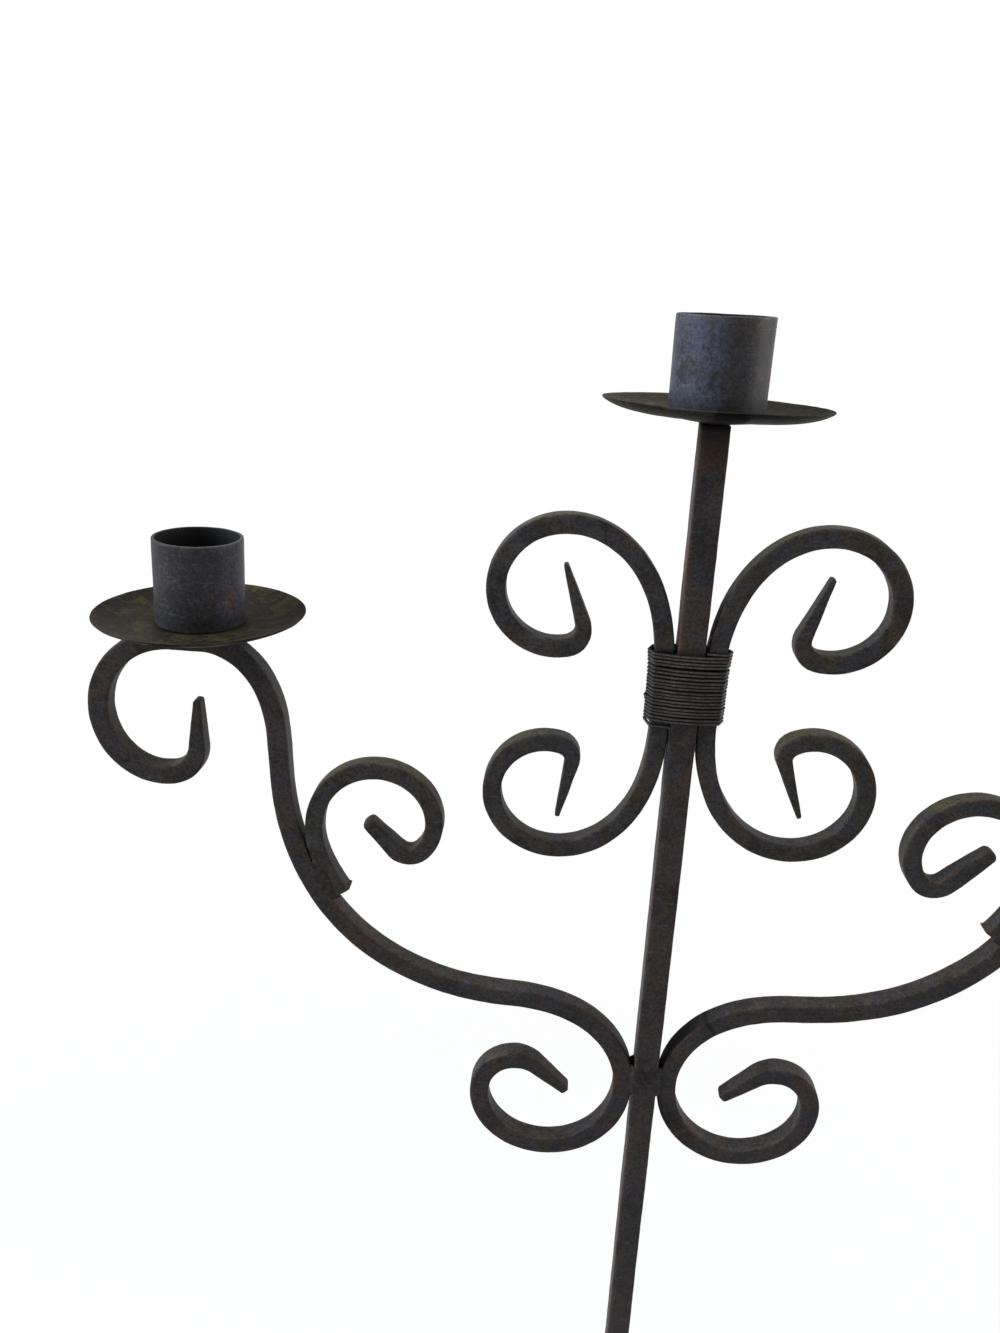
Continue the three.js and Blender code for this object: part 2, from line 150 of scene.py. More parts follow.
finishes = {
    "bar": {
        "dark": rgb(0.021, 0.019, 0.020), "brown": rgb(0.064, 0.045, 0.035),
        "blue": rgb(0.041, 0.041, 0.050), "olive": rgb(0.042, 0.035, 0.015),
        "rust": rgb(0.100, 0.034, 0.014), "pale": rgb(0.085, 0.080, 0.076),
        "blueEdge": 0.71, "blueShare": 0.58, "oliveShare": 0.60, "rustShare": 0.50, "edgeRust": 0.22,
        "rough": 0.56, "metal": 0.04, "gloss": 0.12, "dent": 0.24, "under": 0.55, "chipped": 0.25,
    },
    "scroll": {
        "dark": rgb(0.023, 0.021, 0.020), "brown": rgb(0.062, 0.047, 0.036),
        "blue": rgb(0.048, 0.048, 0.055), "olive": rgb(0.046, 0.038, 0.014),
        "rust": rgb(0.105, 0.040, 0.014), "pale": rgb(0.085, 0.080, 0.076),
        "blueEdge": 0.71, "blueShare": 0.70, "oliveShare": 0.65, "rustShare": 0.35, "edgeRust": 0.25,
        "rough": 0.56, "metal": 0.04, "gloss": 0.12, "dent": 0.22, "under": 0.0, "chipped": 0.45,
    },
    "pan": {
        "dark": rgb(0.018, 0.014, 0.009), "brown": rgb(0.035, 0.027, 0.017),
        "blue": rgb(0.030, 0.030, 0.026), "olive": rgb(0.060, 0.052, 0.018),
        "rust": rgb(0.060, 0.026, 0.012), "pale": rgb(0.070, 0.066, 0.058),
        "blueEdge": 0.80, "blueShare": 0.25, "oliveShare": 0.85, "rustShare": 0.25, "edgeRust": 0.05,
        "rough": 0.56, "metal": 0.03, "gloss": 0.035, "dent": 0.12, "under": 0.45, "chipped": 0.70,
    },
    "cup": {
        "dark": rgb(0.020, 0.019, 0.023), "brown": rgb(0.040, 0.034, 0.034),
        "blue": rgb(0.056, 0.062, 0.094), "olive": rgb(0.040, 0.034, 0.020),
        "rust": rgb(0.130, 0.052, 0.014), "pale": rgb(0.110, 0.108, 0.112),
        "blueEdge": 0.86, "blueShare": 0.30, "oliveShare": 0.15, "rustShare": 0.35, "edgeRust": 0.10,
        "rough": 0.48, "metal": 0.06, "gloss": 0.18, "dent": 0.12, "under": 0.0, "chipped": 0.25,
    },
    "wire": {
        "dark": rgb(0.036, 0.028, 0.023), "brown": rgb(0.098, 0.078, 0.062),
        "blue": rgb(0.038, 0.037, 0.042), "olive": rgb(0.056, 0.044, 0.024),
        "rust": rgb(0.085, 0.030, 0.020), "pale": rgb(0.120, 0.105, 0.090),
        "blueEdge": 0.78, "blueShare": 0.25, "oliveShare": 0.35, "rustShare": 0.45, "edgeRust": 0.0,
        "rough": 0.46, "metal": 0.1, "gloss": 0.25, "dent": 0.10, "under": 0.0, "chipped": 0.25,
    },
    "weld": {
        "dark": rgb(0.009, 0.007, 0.007), "brown": rgb(0.036, 0.023, 0.018),
        "blue": rgb(0.036, 0.035, 0.040), "olive": rgb(0.034, 0.028, 0.016),
        "rust": rgb(0.130, 0.052, 0.012), "pale": rgb(0.100, 0.095, 0.090),
        "blueEdge": 0.76, "blueShare": 0.45, "oliveShare": 0.20, "rustShare": 0.45, "edgeRust": 0.0,
        "rough": 0.6, "metal": 0.04, "gloss": 0.14, "dent": 0.50, "under": 0.2, "chipped": 0.25,
    },
    "screw": {
        "dark": rgb(0.012, 0.011, 0.012), "brown": rgb(0.028, 0.022, 0.018),
        "blue": rgb(0.030, 0.030, 0.036), "olive": rgb(0.030, 0.026, 0.016),
        "rust": rgb(0.080, 0.036, 0.014), "pale": rgb(0.090, 0.088, 0.086),
        "blueEdge": 0.76, "blueShare": 0.40, "oliveShare": 0.20, "rustShare": 0.40, "edgeRust": 0.0,
        "rough": 0.45, "metal": 0.3, "gloss": 0.3, "dent": 0.10, "under": 0.0, "chipped": 0.25,
    },
}
# among these coats are a painted yellow highlight, painted shade and a painted dark reflection
coats = {
    "highlight": rgb(0.080, 0.070, 0.022), "blot": rgb(0.005, 0.004, 0.004),
    "speck": rgb(0.006, 0.0055, 0.006), "shade": rgb(0.004, 0.004, 0.004),
    "shadeAndReflection": rgb(0.0022, 0.0022, 0.0028),
}
patterns = {  # noises: scale, detail, roughness, warp and a shift, so that no two line up
    "clouds": (42, 3.0, 0.55, 0.6),
    "blots": (150, 4.0, 0.60, 0.8, (3, 1, 7)),
    "patches": (80, 4.0, 0.60, 0.8, (8, 3, 5)),
    "grain": (620, 4.0, 0.65),
    "pits": (1300, 2.0, 0.50),
    "smears": (1.0, 3.0, 0.50, 0.9, (4, 2, 9), (170, 170, 520)),
    "olives": (62, 4.0, 0.62, 1.4, (5, 8, 1)),
    "rustSpots": (95, 5.0, 0.70, 1.0, (2, 6, 4)),
}


def ironFinish(name, look):
    p = Paint(bpy.data.materials.new(name))
    place = p.node("ShaderNodeTexCoord", {}, {}, 3)
    clouds, blots, patches, grain, pits, smears, olives, rustSpots = (
        p.speckle(place, *pattern) for pattern in patterns.values())
    normal = p.node("ShaderNodeNewGeometry", {}, {}, 1)
    up = p.node("ShaderNodeSeparateXYZ", {}, {"Vector": normal}, 2)
    edge, shadeAndReflection, litSheen, rusted, highlit = (
        p.attribute(tintName) for tintName in ("edge", "shadeAndReflection", "litSheen", "rusted", "highlit"))

    # scale in two browns, then blue and olive tints
    color = p.mix(p.between(clouds * 0.6 + blots * 0.4, 0.42, 0.58), look["dark"], look["brown"])
    blueMask = p.between(patches + grain * 0.25, 0.50, look["blueEdge"])
    color = p.mix(blueMask * look["blueShare"], color, look["blue"])
    # painted bluish sheen where a cup faces the light from the left
    color = p.mix(litSheen * p.between(blots + grain * 0.2, 0.42, 0.66), color, look["blue"])
    oliveMask = p.between(olives, 0.49, 0.61) * (0.45 + 0.55 * p.between(up, -0.2, 0.9))
    color = p.mix(oliveMask * look["oliveShare"], color, look["olive"])
    # painted yellow highlight on the upper left of the curls' tops
    color = p.mix(highlit * p.between(olives * 0.6 + grain * 0.4, 0.44, 0.58), color, coats["highlight"])

    # dark blots, dark and pale specks, painted shade on undersides
    color = p.mix(p.between(blots + grain * 0.25, 0.74, 0.84) * 0.65, color, coats["blot"])
    specks = grain * 0.6 + pits * 0.4
    color = p.mix((1 - p.between(specks, 0.40, 0.55)) * 0.60, color, coats["speck"])
    color = p.mix(p.between(specks, 0.54, 0.70) * 0.34, color, look["pale"])
    color = p.mix((1 - p.between(up, -0.95, -0.15)) * look["under"], color, coats["shade"])

    # rust in spots, along edges and where a piece is marked for it
    spots = p.between(rustSpots + grain * 0.12, 0.69, 0.80) * look["rustShare"]
    edgeSpots = edge * p.between(rustSpots + grain * 0.2, 0.56, 0.74) * look["edgeRust"]
    markedSpots = rusted * p.between(rustSpots * 0.5 + grain * 0.5, 0.42, 0.60)
    rusty = p.maths("MAXIMUM", p.maths("MAXIMUM", spots, edgeSpots), markedSpots)
    color = p.mix(rusty, color, look["rust"])

    # rubbed and chipped places, then painted shade and a painted dark reflection over all
    rubbed = p.between(smears + grain * 0.15, 0.66, 0.80) * 0.45
    chips = edge * p.between(clouds + grain * 0.3, 0.62, 0.80) * look["chipped"]
    color = p.mix(rubbed + chips, color, look["pale"])
    color = p.mix(shadeAndReflection, color, coats["shadeAndReflection"])

    rough = look["rough"] + (clouds - 0.5) * 0.30 + (grain - 0.5) * 0.22 + rusty * 0.22 + shadeAndReflection * 0.3
    height = blots * 0.45 + grain * 0.40 + pits * 0.15
    dents = p.node("ShaderNodeBump", {},
                   {"Strength": look["dent"], "Distance": 0.0006, "Height": height})
    surface = p.node("ShaderNodeBsdfPrincipled", {},
                     {"Base Color": color, "Roughness": rough, "Metallic": look["metal"] * (1 - rusty),
                      "Normal": dents, "Specular IOR Level": look["gloss"]})
    return p.finish(surface)


iron = {slot: ironFinish(slot + "Iron", look) for slot, look in finishes.items()}
print("finishes mixed:", len(iron))


# Placing a finished mesh in the scene

def addPiece(bm, name, node, slot, sharp=38):
    for edge in bm.edges:
        edge.smooth = edge.is_manifold and edge.calc_face_angle() < math.radians(sharp)
    for face in bm.faces:
        face.smooth = True
    mesh = bpy.data.meshes.new(name)
    bm.to_mesh(mesh)
    bm.free()
    mesh.materials.append(iron[slot])
    piece = bpy.data.objects.new(name, mesh)
    bpy.context.scene.collection.objects.link(piece)
    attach(piece, "root")
    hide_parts(node)


def tint(bm, name, share):  # writes a 0 to 1 attribute for the finish, from place in mm and normal
    layer = bm.verts.layers.float.get(name) or bm.verts.layers.float.new(name)
    bm.normal_update()
    for v in bm.verts:
        v[layer] = clamp(share(*(v.co / mm), v.normal))


def clamp(value):
    return min(1, max(0, value))


def band(value, low, high, soft):  # 1 from low to high, fading over soft on both sides
    return min(1, max(0, (value - low) / soft + 1), max(0, (high - value) / soft + 1))


def highlightTops(bm, tops):  # painted yellow highlight on the upper left sides of the curls' tops
    def highlitShare(x, y, z, n):
        facing = clamp((0.8 * n.z - 0.6 * n.x - 0.45) * 2.5)
        return 0.8 * (abs(x) > 25) * facing * max(band(z, top - 18, top, 7) for top in tops)
    tint(bm, "highlit", highlitShare)


def roughen(bm, moves, shift):  # a move: spacing and depth in mm, bias, and the edges' share of it
    edgeOf = bm.verts.layers.float.get("edge")
    bm.normal_update()
    pushes = []
    for v in bm.verts:
        push = 0
        for i, (spacing, depth, bias, edgeShare) in enumerate(moves):
            share = 1 + (edgeShare - 1) * v[edgeOf] if edgeOf else 1
            at = v.co / (spacing * mm) + Vector((shift + 17 * i, 3 * i, 5 * i))
            push += depth * share * (noise.noise(at) - bias)
        pushes.append(v.normal * min(push, mostPush) * mm)
    for v, push in zip(bm.verts, pushes):
        v.co += push


# Bars: bent in their own plane, x outwards and z up. A bend is (degrees, radius, end radius) in mm.

def bendBar(start, moves, hand=1, step=2.0):
    x, z, heading = start
    stations = [(x, z, heading, 0.0)]
    along = 0.0
    for move in moves:
        turn, radius, endRadius = move if len(move) == 3 else (0, 1, 1)
        first, last = 1 / radius, 1 / endRadius
        length = move[0] if len(move) == 1 else math.radians(abs(turn)) / ((first + last) / 2)
        count = max(2, math.ceil(length / step))
        part = length / count
        for i in range(count):
            middle = first + (last - first) * (i + 0.5) / count
            angle = -hand * math.copysign(part * middle, turn) if turn else 0.0
            chord = part * math.sin(angle / 2) / (angle / 2) if angle else part
            x += chord * math.cos(heading + angle / 2)
            z += chord * math.sin(heading + angle / 2)
            heading += angle
            along += part
            stations.append((x, z, heading, along))
    return stations


def joinBars(back, ahead):
    turned = [(x, z, heading + math.pi, -along) for x, z, heading, along in reversed(back)]
    gap = math.dist(back[0][:2], ahead[0][:2])
    turned = [(x, z, heading, along - gap) for x, z, heading, along in turned]
    return turned + list(ahead)


def tipSize(distance, tip, key):
    return 1.0 if tip is None else tip[key] + (1 - tip[key]) * min(1, distance / tip["length"])


def sizedStations(stations, startTip, endTip, size, rounding, startRounding=None):
    # adds each station's width and depth as shares of the bar, and rounds the ends
    first, last = stations[0][3], stations[-1][3]
    sized = []
    for x, z, heading, along in stations:
        width = tipSize(along - first, startTip, "width") * tipSize(last - along, endTip, "width")
        depth = tipSize(along - first, startTip, "depth") * tipSize(last - along, endTip, "depth")
        sized.append([x, z, heading, along, width, depth])
    startRounded = roundedEnd(sized, size, startRounding or rounding)
    return roundedEnd(startRounded[::-1], size, rounding)[::-1]


def roundedEnd(sized, size, rounding):
    end = sized[0]
    endWidth = size * end[4]
    radius = min(rounding, endWidth / 2 * 0.95)
    rest = [station for station in sized if abs(station[3] - end[3]) > radius + 0.3]
    cap = []
    for angle in (math.radians(degrees) for degrees in (8, 30, 55, 80)):
        share = radius * (1 - math.cos(angle)) / abs(rest[0][3] - end[3])
        shrink = 2 * radius * (1 - math.sin(angle)) / size
        *at, width, depth = (a + (b - a) * share for a, b in zip(end, rest[0]))
        cap.append([*at, max(0.1, width - shrink), max(0.1, depth - shrink)])
    return cap + rest


def squareFace(bm, size, wear):  # the bar's section, its corners worn round and its sides divided
    edgeOf = bm.verts.layers.float.new("edge")
    bmesh.ops.create_grid(bm, x_segments=1, y_segments=1, size=size / 2 * mm)
    bmesh.ops.bevel(bm, geom=bm.verts[:], offset=wear * mm, affect="VERTICES",
                    segments=3, profile=0.5, material=-1)
    sides = [e for e in bm.edges if e.calc_length() > size * 0.5 * mm]
    bmesh.ops.subdivide_edges(bm, edges=sides, cuts=4)
    for v in bm.verts:
        near = min(abs(v.co.x), abs(v.co.y)) / (size / 2 * mm)
        v[edgeOf] = clamp((near - 0.55) / 0.25)
    return onlyFace(bm)


def onlyFace(bm):
    bm.faces.ensure_lookup_table()
    return bm.faces[0]


def stationFrame(station):
    x, z, heading, _, width, depth = station
    across = Vector((math.sin(heading), 0, -math.cos(heading)))
    forward = Vector((math.cos(heading), 0, math.sin(heading)))
    axes = Matrix((across * width, Vector((0, -1, 0)) * depth, forward)).transposed().to_4x4()
    return Matrix.Translation(Vector((x, 0, z)) * mm) @ axes


def sweepFace(bm, face, frames):  # draws a closed face through a row of frames
    before = Matrix.Identity(4)
    for i, after in enumerate(frames):
        if i:
            face = extrudedFace(bm, face)
        bmesh.ops.transform(bm, matrix=after @ before.inverted(), verts=face.verts[:])
        before = after
    bmesh.ops.recalc_face_normals(bm, faces=bm.faces[:])
    return bm


def extrudedFace(bm, face):
    grown = bmesh.ops.extrude_face_region(bm, geom=[face])
    return next(part for part in grown["geom"] if isinstance(part, bmesh.types.BMFace))


def sweepBar(stations, size, wear):
    bm = bmesh.new()
    face = squareFace(bm, size, wear)
    return sweepFace(bm, face, [stationFrame(station) for station in stations])


forging = [(30, 0.15, 0.0, 1.0), (11, 0.11, 0.0, 1.3), (4, 0.05, 0.1, 1.8)]  # hammer marks, see roughen

print("bars: tools ready")

# Upright

upright = {
    "bar": 12.7, "foot": 211.9, "top": 1455.75, "pan": 1455.49, "wear": 1.0, "rounding": 0.25,
    # marks: heights from and to, and how softly they end
    "bound": (1320, 1353, 1.5),  # painted shade on the upright under the binding
    # painted shade on the upright's top, below the pan
    "shading": (1450, 1500, 14),
    "redEdge": (1362, 1398, 14),
    "redSpots": (1440, 1449, 5),
}


def makeUpright(s):
    length = s["top"] - s["foot"]
    stations = bendBar((0, s["foot"], math.pi / 2), [(length,)], step=3.0)
    sized = sizedStations(stations, None, None, s["bar"], s["rounding"])
    bm = sweepBar(sized, s["bar"], s["wear"])
    roughen(bm, forging, 11)

    def worn(x, y, z, n):
        return float(abs(abs(x) - abs(y)) < 1.2 and z < s["top"] - 3)

    # painted shade under the binding, below the pan and on the top end that the pan covers
    def darkening(x, y, z, n):
        underPan = band(z, s["top"] - 1, s["top"] + 10, 1)
        return max(0.95 * band(z, *s["bound"]), 0.40 * band(z, *s["shading"]), underPan)

    def rusty(x, y, z, n):
        onLeftEdge = x < -4.6
        return max(0.8 * onLeftEdge * band(z, *s["redEdge"]), 0.75 * band(z, *s["redSpots"]))

    tint(bm, "edge", worn)
    tint(bm, "shadeAndReflection", darkening)
    tint(bm, "rusted", rusty)
    addPiece(bm, "uprightBar", "stem", "bar")


makeUpright(upright)
print("upright made")

# Arms and legs: one bar bent to an S. The legs are the same bar turned over.

limb = {
    "bar": 10, "x": 11.65, "waist": 0.4, "seat": 14.6, "cup": 229.58,
    "out": [(59, 44.9, 54.4), (27.6, 54.4, 124.8), (10,), (-40.3, 139.7, 102.9),
            (-44.2, 102.9, 167.6), (15.8,), (87.9, 162, 26.2)],
    "curl": [(94.7, 37.5, 38.2), (96.8, 38.2, 25.5), (75.8, 15.8, 15.8), (25.5,)],
    "foot": [(82, 49.5, 38.5), (84.5, 38.5, 33.5), (100.5, 33.5, 16.5), (43.5, 17, 17), (23,)],
    "footTip": {"length": 34, "width": 0.47, "depth": 0.76},
    "curlTip": {"length": 34, "width": 0.34, "depth": 0.72},
    "wear": 1.0, "rounding": 3.6,
    # painted shade and rust near the arms' weld: from, to and how softly they end, across and in height
    "shadeAcross": (5, 24, 26), "shadeHeights": (1090, 1150, 25),
    "rustAcross": (-16.8, -13, 1), "rustHeights": (1104, 1113, 3),
}
weldHeights = {"left": 1105.32, "right": 1108.82}


def limbStations(s):
    out = bendBar((s["x"], 0, math.pi / 2), s["out"])
    last = out[-1]
    ahead = bendBar(last[:3], [(s["seat"],)] + s["curl"])
    ahead = [(x, z, heading, along + last[3]) for x, z, heading, along in ahead[1:]]
    back = bendBar((s["x"], -s["waist"], -math.pi / 2), s["foot"], -1)
    return joinBars(back, out + ahead), last


limbPath, limbSeat = limbStations(limb)
limbSized = sizedStations(limbPath, limb["footTip"], limb["curlTip"], limb["bar"], limb["rounding"])
seatTop = limbSeat[1] + limb["bar"] / 2


def makeLimb(name, node, place, shift):
    bm = sweepBar(limbSized, limb["bar"], limb["wear"])
    bmesh.ops.transform(bm, matrix=place, verts=bm.verts[:])
    roughen(bm, forging, shift)

    def darkening(x, y, z, n):  # painted shade on the side that faces left, near the upright
        return 0.95 * clamp(-2.5 * n.x) * band(x, *limb["shadeAcross"]) * band(z, *limb["shadeHeights"])

    def rusty(x, y, z, n):
        return (y < 0) * band(x, *limb["rustAcross"]) * band(z, *limb["rustHeights"])

    tint(bm, "shadeAndReflection", darkening)
    tint(bm, "rusted", rusty)
    addPiece(bm, name, node, "bar")


def sidePlace(side):
    lift = Matrix.Translation((0, 0, weldHeights[side] * mm))
    return lift @ Matrix.Rotation(math.pi if side == "left" else 0, 4, "Z")


def legPlace(quarter):
    lift = Matrix.Translation((0, 0, seatTop * mm))
    return lift @ Matrix.Rotation(quarter * math.pi / 2, 4, "Z") @ Matrix.Rotation(math.pi, 4, "X")


makeLimb("leftArmBar", "left_arm", sidePlace("left"), 23)
makeLimb("rightArmBar", "right_arm", sidePlace("right"), 31)
for quarter, word in enumerate(("right", "back", "left", "front")):
    makeLimb(word + "LegBar", word + "_leg", legPlace(quarter), 41 + 7 * quarter)
print("arms and legs made")

# Small scrolls that lie on the arms

armScroll = {
    "bar": 9, "gap": 0.3, "seat": 22.9,
    "start": {"left": 203.6, "right": 201.6},
    "curl": [(60.2, 55, 32.1), (103.6, 32.1, 28.4), (82.8, 28.4, 22.2), (92.5, 9.1, 9.1)],
    "tail": {"left": 21.3, "right": 27},
    "tip": {"length": 22, "width": 0.72, "depth": 0.8},
    "butt": {"length": 2.0, "width": 1.26, "depth": 1.05},  # spread by the cut
    "wear": 0.9, "rounding": 2.6, "buttRounding": 0.7,
    "tipRust": (5, 15, 3),  # mm from the end, and how softly it ends
}


def armScrollStations(s, side):
    offset = (limb["bar"] + s["bar"]) / 2 + s["gap"]
    start = s["start"][side]
    seat = [(x - offset * math.sin(heading), z + offset * math.cos(heading), heading, along)
            for x, z, heading, along in limbPath if start <= along <= start + s["seat"]]
    free = bendBar(seat[-1][:3], s["curl"] + [(s["tail"][side],)], -1)
    free = [(x, z, heading, along + seat[-1][3]) for x, z, heading, along in free[1:]]
    return seat + free


def makeArmScroll(s, side, shift):
    stations = armScrollStations(s, side)
    sized = sizedStations(stations, s["butt"], s["tip"], s["bar"], s["rounding"], s["buttRounding"])
    bm = sweepBar(sized, s["bar"], s["wear"])
    bmesh.ops.transform(bm, matrix=sidePlace(side), verts=bm.verts[:])
    roughen(bm, forging, shift)
    highlightTops(bm, [max(v.co.z for v in bm.verts) / mm])
    hand = -1 if side == "left" else 1
    tipAt = Vector((sized[-1][0] * hand, 0, sized[-1][1] + weldHeights[side]))

    def rusty(x, y, z, n):  # the lower left side of the tip
        return 0.8 * clamp(-1.5 * n.z - n.x) * band((Vector((x, y, z)) - tipAt).length, *s["tipRust"])

    tint(bm, "rusted", rusty)
    addPiece(bm, side + "ArmScrollBar", side + "_arm_scroll", "scroll")


makeArmScroll(armScroll, "left", 5)
makeArmScroll(armScroll, "right", 9)
print("arm scrolls made")

# C-scrolls bound to the upright

cScroll = {
    "bar": 9, "x": 11.15, "waist": 15.5, "top": 1332.99,
    "up": [(82.5, 450, 36), (102.5, 36, 28), (97, 28, 28), (97, 9, 9), (29,)],
    "down": {
        "left": [(78.5, 260, 36), (108, 36, 27.5), (97.5, 27.5, 25), (86.5, 7.8, 7.8), (30.5,)],
        "right": [(83, 150, 35.5), (109.5, 35.5, 29.5), (104.5, 29.5, 22.5), (83.5, 7.5, 7.5), (31,)],
    },
    "tip": {"length": 40, "width": 0.24, "depth": 0.6},
    "wear": 0.9, "rounding": 1.0,
    "highlightTops": (1415, 1320),  # heights of the curls' tops
    "innerShade": (1300, 1372, 12),
}


def cScrollStations(s, side):
    above = bendBar((s["x"], 0, math.pi / 2), s["up"])
    below = bendBar((s["x"], -s["waist"], -math.pi / 2), s["down"][side], -1)
    return joinBars(below, above)


def makeCScroll(s, side, shift):
    sized = sizedStations(cScrollStations(s, side), s["tip"], s["tip"], s["bar"], s["rounding"])
    bm = sweepBar(sized, s["bar"], s["wear"])
    turn = Matrix.Rotation(math.pi if side == "left" else 0, 4, "Z")
    bmesh.ops.transform(bm, matrix=Matrix.Translation((0, 0, s["top"] * mm)) @ turn, verts=bm.verts[:])
    roughen(bm, forging, shift)
    highlightTops(bm, s["highlightTops"])

    def darkening(x, y, z, n):  # painted shade under the binding, and on the side that faces the upright
        inner = 0.75 * (n.x * x < -8) * band(z, *s["innerShade"])
        return (abs(x) < 30) * max(0.95 * band(z, *upright["bound"]), inner)

    tint(bm, "shadeAndReflection", darkening)
    addPiece(bm, side + "CScrollBar", side + "_c_scroll", "scroll")


makeCScroll(cScroll, "left", 61)
makeCScroll(cScroll, "right", 67)
print("C-scrolls made")

# Cups, drip pans and screws

holder = {
    "pan": {"radius": 49, "rise": 7.3, "flat": 4, "curve": 1.25, "sheet": 1.5, "hole": 2.9,
            "belly": 1.25, "thinRim": 0.7, "shading": 0.30, "rimWave": 0.14,
            "marks": [(18, 0.12, 0.35, 1.0), (5, 0.05, 0.35, 1.5)]},  # of the hammer, see roughen
    "cup": {"radius": 20.65, "wall": 1.6, "height": 40.3, "edge": 0.5, "hole": 2.9,
            "marks": [(20, 0.12, 0.0, 1.0), (6, 0.05, 0.0, 1.8)],
            "footShade": 0.55, "footHeight": 10, "rightShade": {"top": 0, "left": 0.28, "right": 0},
            # painted bluish sheen on the side that faces the light from the left
            "litSide": (-0.93, -0.37), "litSheen": {"top": 0.95, "left": 0.5, "right": 0.4},
            # from and to in height, then in degrees from the front
            "rusted": {"top": (14, 21, 68, 78), "left": (9, 18, 58, 64), "right": (10, 20, 60, 70)}},
    "screw": {"radius": 2.5, "head": 5, "height": 2.8, "reach": 9,
              "slot": 0.55, "slotDepth": 1.2, "slotTurn": 0.6},
    "gap": 0.3,
    # degrees, as hand-fitted pans sit
    "tilt": {"top": (-1.7, 1.1), "left": (0.0, 0.3), "right": (0.2, -0.3)},
}


def turnProfile(bm, profile, steps):  # spins a closed profile of (radius, height) in mm
    corners = [bm.verts.new((radius * mm, 0, height * mm)) for radius, height in profile]
    for before, after in zip(corners, corners[1:] + corners[:1]):
        bm.edges.new((before, after))
    bmesh.ops.spin(bm, geom=bm.verts[:] + bm.edges[:], axis=(0, 0, 1), cent=(0, 0, 0),
                   angle=2 * math.pi, steps=steps, use_merge=True)
    bmesh.ops.remove_doubles(bm, verts=bm.verts[:], dist=1e-6)
    bmesh.ops.recalc_face_normals(bm, faces=bm.faces[:])


def dishHeight(s, radius):
    outside = max(0, radius - s["flat"]) / (s["radius"] - s["flat"])
    sag = max(0, radius / s["radius"] - 0.45) / 0.55  # hammered a little hollow outside the cup
    return s["rise"] * outside ** s["curve"] - s["belly"] * math.sin(math.pi * sag ** 1.3)


def edgeNear(bm, test):
    edgeOf = bm.verts.layers.float.new("edge")
    for v in bm.verts:
        v[edgeOf] = test(math.hypot(v.co.x, v.co.y) / mm, v.co.z / mm)


def panProfile(s):  # out along the underside, round the thinned rim and back over the top
    outer = s["radius"] - s["sheet"] / 2
    radii = [s["hole"], s["flat"]]
    radii += [s["flat"] + (outer - s["flat"]) * i / 18 for i in range(1, 19)]

    def thinned(r):
        return s["thinRim"] * max(0, (r - s["radius"] + 6) / 6) ** 2

    half = (s["sheet"] - s["thinRim"]) / 2
    middle = dishHeight(s, s["radius"]) + s["sheet"] - half
    below = [(r, dishHeight(s, r) + thinned(r)) for r in radii]
    above = [(r, dishHeight(s, r) + s["sheet"]) for r in reversed(radii)]
    rim = [(s["radius"] - half + half * math.cos(a), middle + half * math.sin(a))
           for a in (-1.1, -0.4, 0.4, 1.1)]
    return below + rim + above


def makePan(s, name, node, tilted, shift):
    bm = bmesh.new()
    turnProfile(bm, panProfile(s), 144)
    edgeNear(bm, lambda r, h: clamp((r - s["radius"] + 1.6) / 1.2))
    for v in bm.verts:
        reach = (math.hypot(v.co.x, v.co.y) / mm / s["radius"]) ** 3
        wave = noise.noise(Vector((v.co.x * 28, v.co.y * 28, shift))) - 0.1
        v.co.z += s["rimWave"] * reach * wave * mm
    bmesh.ops.transform(bm, matrix=tilted, verts=bm.verts[:])
    roughen(bm, s["marks"], shift)
    middle = tilted.translation.x / mm

    def darkening(x, y, z, n):  # painted dark reflection of the upright underneath, and painted shade on the right of the dish
        streak = 0.8 * (n.z < 0) * (y < 0) * band(x - middle, -6, 6, 0.8)
        return max(streak, s["shading"] * (x - middle) / 40 * (n.z > 0))

    tint(bm, "shadeAndReflection", darkening)
    addPiece(bm, name, node, "pan")


def cupProfile(s):  # out along the foot, up the outside, over the lip and down to the floor
    outer, top, edge, floor = s["radius"], s["height"], s["edge"], s["wall"]
    inner = outer - s["wall"]
    rows = [edge + 0.4 + (top - 2 * edge - 0.8) * i / 14 for i in range(15)]
    foot = [(s["hole"], 0), (outer * 0.5, 0), (outer - 2 * edge, 0),
            (outer - edge * 0.4, edge * 0.25), (outer, edge)]
    outside = [(outer, height) for height in rows]
    lip = [(outer, top - edge), (outer - edge * 0.3, top - edge * 0.3), (outer - edge, top),
           (inner + edge / 2, top), (inner + edge * 0.1, top - edge * 0.2), (inner, top - edge)]
    inside = [(inner, height) for height in reversed(rows) if height > floor + 1]
    bottom = [(inner, floor + 0.8), (inner - 0.3, floor + 0.2), (inner - 1, floor), (s["hole"], floor)]
    return foot + outside + lip + inside + bottom


